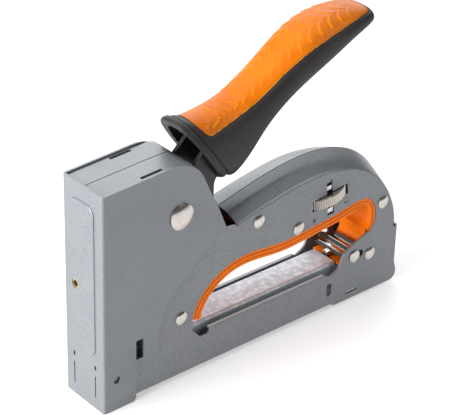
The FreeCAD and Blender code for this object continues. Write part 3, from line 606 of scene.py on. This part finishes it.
def mould_surface(obj, edge_line, scales):
    """Round one side of the seam between grip and handle, and raise the scales if it has them."""
    middle = centre_line()
    mesh = obj.data
    normals = [vertex.normal.copy() for vertex in mesh.vertices]
    for vertex, normal in zip(mesh.vertices, normals):
        flat = Vector((vertex.co.x, vertex.co.z))
        gap, _ = distance_to_line(flat, edge_line)
        outward = Vector((0, math.copysign(1.0, vertex.co.y), 0)) if gap < ON_SEAM else normal
        lift = 0.0
        if gap < GROOVE_WIDTH:
            lift = -GROOVE_DEPTH * (1.0 - gap / GROOVE_WIDTH) ** 2
        if scales and gap > SCALE_MARGIN and normal.z > FACES_DOWN:
            depth, along = distance_to_line(flat, middle)
            across = math.copysign(math.atan2(abs(vertex.co.y), depth) * GRIP_RADIUS, vertex.co.y)
            fade = min((gap - SCALE_MARGIN) / SCALE_FADE, 1.0)
            lift += scale_height(along, across) * fade
        vertex.co += outward * lift
    mesh.update()


def make_handle():
    """The hollow dark handle and the orange grip over it, cut from one smooth blank."""
    grasp = subdivided(loft("handle_blank", smooth_line(HANDLE, RING_STEPS)), SMOOTH_LEVELS)
    edge = smooth_line(GRIP_EDGE, GRIP_EDGE_STEPS)
    over = slab("over_grip", edge + OVER_GRIP, OVER_GRIP_HALF)
    grip = grasp.copy()
    grip.data = grasp.data.copy()
    bpy.context.scene.collection.objects.link(grip)
    boolean(grip, over, "INTERSECT")
    boolean(grasp, over, "DIFFERENCE")
    seam = side_line(edge)
    mould_surface(grip, seam, scales=True)
    mould_surface(grasp, seam, scales=False)
    for tool in (slab("lever_room", LEVER_ROOM, LEVER_ROOM_HALF), loft("hollow", HOLLOW, RIM_WALL)):
        boolean(grasp, tool, "DIFFERENCE")
        remove(tool)
    remove(over)
    shade(grip, 50)
    shade(grasp, 38)
    finish_piece(grip, "soft_grip", "lever_arm", GRIP, "grip_rubber", "handle_grip")
    finish_piece(grasp, "handle_grasp", "lever_arm", HANDLE_PLASTIC, "handle_plastic", "handle_body")


# ---- marks beside the wheel ----------------------------------------------------------

# The printed strokes: how long and broad, how thick, and their tilt. SIDE_FACE is the wall's outside.
STROKE_LONG = 2.3
STROKE_BROAD = 0.6
STROKE_THICK = 0.1
STROKE_BEVEL = 0.04
STROKE_TILT = math.radians(7.0)
SIDE_FACE = 12.52
PLUS = (118.4, 52.3)
MINUS = (137.5, 55.4)
MINUS_LONG = 2.4


def bar(middle, length, height, side):
    """One thin black stroke on the side wall."""
    ops.object.select_all(action="DESELECT")
    ops.mesh.primitive_cube_add(size=1.0, location=(0, 0, 0))
    stroke = bpy.context.active_object
    ops.object.mode_set(mode="EDIT")
    ops.transform.resize(value=(length * MM, STROKE_THICK * MM, height * MM))
    ops.mesh.bevel(offset=STROKE_BEVEL * MM, segments=2, affect="EDGES")
    ops.transform.rotate(value=STROKE_TILT, orient_axis="Y", center_override=(0, 0, 0))
    ops.object.mode_set(mode="OBJECT")
    x, z = middle
    stroke.location = place(x, side * SIDE_FACE, z)
    settle(stroke)
    return stroke


def make_marks():
    """A plus and a minus on each side wall, for more and less force."""
    for side, name in ((-1, "left"), (1, "right")):
        plus = bar(PLUS, STROKE_LONG, STROKE_BROAD, side)
        upright = bar(PLUS, STROKE_BROAD, STROKE_LONG, side)
        boolean(plus, upright, "UNION")
        remove(upright)
        finish_piece(plus, name + "_plus_mark", "frame", MARK, "black_plastic")
        minus = bar(MINUS, MINUS_LONG, STROKE_BROAD, side)
        finish_piece(minus, name + "_minus_mark", "frame", MARK, "black_plastic")


# ---- studio --------------------------------------------------------------------------

FLOOR_SIZE = 8.0
FLOOR_BELOW = 0.2 * MM
FLOOR_GLOW = 0.42
WORLD_COLOUR = (0.95, 0.97, 1.0, 1)
WORLD_STRENGTH = 0.15
AIM = (0, 0, 0.06)


def make_floor():
    """A pale floor that glows a little, so that it stays almost white."""
    ops.object.select_all(action="DESELECT")
    ops.mesh.primitive_plane_add(size=FLOOR_SIZE, location=(0, 0, -FLOOR_BELOW))
    floor = bpy.context.active_object
    floor.name = "floor"
    made = Finish("pale_floor", 0.6)
    made.colour(made.ramp(made.noise(3.0), 0.3, 0.7, (0.5, 0.5, 0.5), (0.54, 0.54, 0.54)))
    made.shader.inputs["Emission Color"].default_value = (1, 1, 1, 1)
    made.shader.inputs["Emission Strength"].default_value = FLOOR_GLOW
    floor.data.materials.append(made.material)


def softbox(name, where, size, power):
    """A large area light that faces the middle of the tool."""
    light = bpy.data.lights.new(name, "AREA")
    light.shape = "RECTANGLE"
    light.size, light.size_y = size
    light.energy = power
    lamp = bpy.data.objects.new(name, light)
    bpy.context.scene.collection.objects.link(lamp)
    lamp.location = where
    aim = Vector(AIM) - Vector(where)
    lamp.rotation_euler = aim.to_track_quat("-Z", "Y").to_euler()


def make_lights():
    """Four softboxes and a faint even light from all round."""
    softbox("front_box", (-1.3, 0.1, 0.5), (1.0, 1.0), 52.0)
    softbox("top_box", (0.1, 0.35, 1.4), (1.6, 1.2), 13.0)
    softbox("side_box", (0.8, -1.05, 1.05), (0.9, 0.7), 6.5)
    softbox("back_box", (1.0, 1.2, 0.75), (1.6, 1.1), 16.0)
    world = bpy.data.worlds.new("studio")
    world.use_nodes = True
    backdrop = world.node_tree.nodes["Background"]
    backdrop.inputs["Color"].default_value = WORLD_COLOUR
    backdrop.inputs["Strength"].default_value = WORLD_STRENGTH
    bpy.context.scene.world = world
    bpy.context.scene.view_settings.view_transform = "Standard"


AZIMUTH = math.radians(-41.10)
ELEVATION = math.radians(30.15)
ROLL = math.radians(1.71)
CAMERA_PLACE = (-0.460254, -0.519291, 0.467762)
SENSOR_WIDTH = 36.0
FOCAL_LENGTH = 143.06
NEAREST = 0.01


def make_camera():
    """A long lens from the left, in front and above, tilted a little."""
    right = Vector((math.cos(AZIMUTH), math.sin(AZIMUTH), 0))
    level = Vector((math.sin(AZIMUTH), -math.cos(AZIMUTH), 0))
    back = level * math.cos(ELEVATION) + Vector((0, 0, math.sin(ELEVATION)))
    up = back.cross(right)
    turned_right = right * math.cos(ROLL) + up * math.sin(ROLL)
    turned_up = up * math.cos(ROLL) - right * math.sin(ROLL)
    lens = bpy.data.cameras.new("camera")
    lens.sensor_width = SENSOR_WIDTH
    lens.lens = FOCAL_LENGTH
    lens.clip_start = NEAREST
    camera = bpy.data.objects.new("camera", lens)
    bpy.context.scene.collection.objects.link(camera)
    pose = Matrix((turned_right, turned_up, back)).transposed().to_4x4()
    pose.translation = Vector(CAMERA_PLACE)
    camera.matrix_world = pose
    bpy.context.scene.camera = camera


make_camera()
dress_cad_nodes()
for pressed, edge_width in PRESSED.items():
    round_edges(pressed, edge_width)
make_handle()
make_marks()
make_floor()
make_lights()
